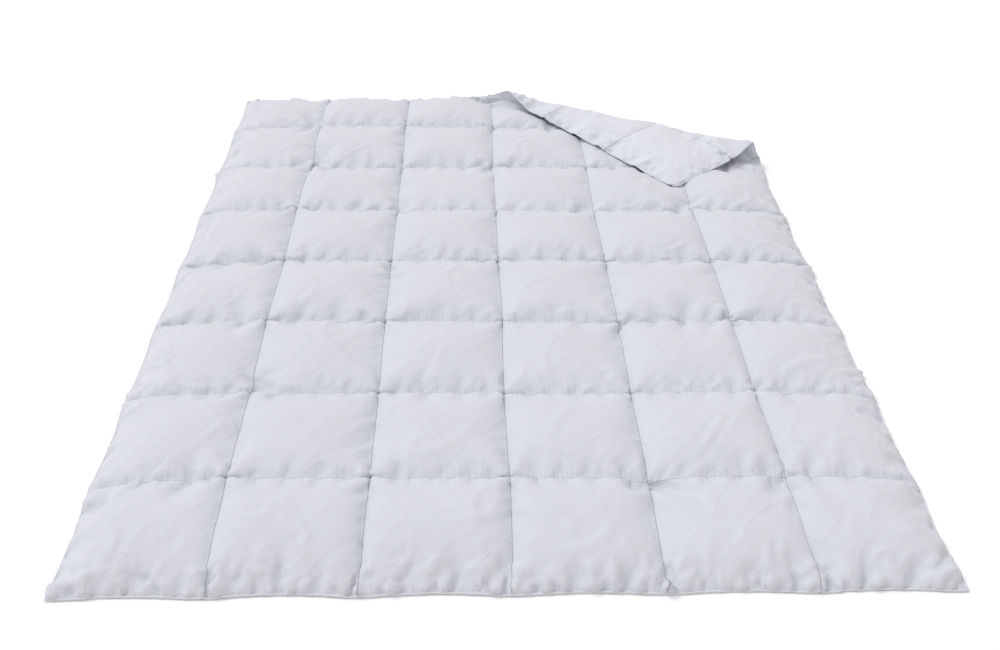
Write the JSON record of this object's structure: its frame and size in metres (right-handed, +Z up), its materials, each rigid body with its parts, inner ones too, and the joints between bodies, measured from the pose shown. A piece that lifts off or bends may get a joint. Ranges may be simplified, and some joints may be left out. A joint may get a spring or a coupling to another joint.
{
  "type": "duvet",
  "caption": "Box-quilted duvet lying flat, with piped edges and one head-end corner turned back over its upper cover.",
  "frame": {"origin": "middle of the duvet's finished outline, on the surface it lies on", "axes": "+X across the width, +Y along the length towards the head end, +Z up out of the upper cover; the turned corner is the one at +X +Y"},
  "size_m": [1.5998, 1.9998, 0.0794],
  "materials": {
    "cotton_top": "matte",
    "cotton_under": "matte",
    "down": "matte",
    "baffle": "matte",
    "piping": "matte"
  },
  "bodies": {
    "quilt": {"baffle_walls": "baffle", "bottom_cover": "cotton_under", "down_1_1": "down", "down_1_2": "down", "down_1_3": "down", "down_1_4": "down", "down_1_5": "down", "down_1_6": "down", "down_1_7": "down", "down_1_8": "down", "down_2_1": "down", "down_2_2": "down", "down_2_3": "down", "down_2_4": "down", "down_2_5": "down", "down_2_6": "down", "down_2_7": "down", "down_2_8": "down", "down_3_1": "down", "down_3_2": "down", "down_3_3": "down", "down_3_4": "down", "down_3_5": "down", "down_3_6": "down", "down_3_7": "down", "down_3_8": "down", "down_4_1": "down", "down_4_2": "down", "down_4_3": "down", "down_4_4": "down", "down_4_5": "down", "down_4_6": "down", "down_4_7": "down", "down_4_8": "down", "down_5_1": "down", "down_5_2": "down", "down_5_3": "down", "down_5_4": "down", "down_5_5": "down", "down_5_6": "down", "down_5_7": "down", "down_5_8": "down", "down_6_1": "down", "down_6_2": "down", "down_6_3": "down", "down_6_4": "down", "down_6_5": "down", "down_6_6": "down", "down_6_7": "down", "piping": "piping", "top_cover": "cotton_top"},
    "corner": {"corner_baffle_box": "baffle", "corner_baffle_single": "baffle", "corner_bottom_cover": "cotton_under", "corner_down_4_8": "down", "corner_down_5_8": "down", "corner_down_6_7": "down", "corner_down_6_8": "down", "corner_piping": "piping", "corner_top_cover": "cotton_top"}
  },
  "joints": [
    {"name": "corner_fold", "type": "hinge", "parent": "quilt", "child": "corner", "pos_m": [0.4024, 0.8075, 0.04], "axis": [-0.9001, 0.4358, 0], "range_deg": [0, 178]}
  ]
}
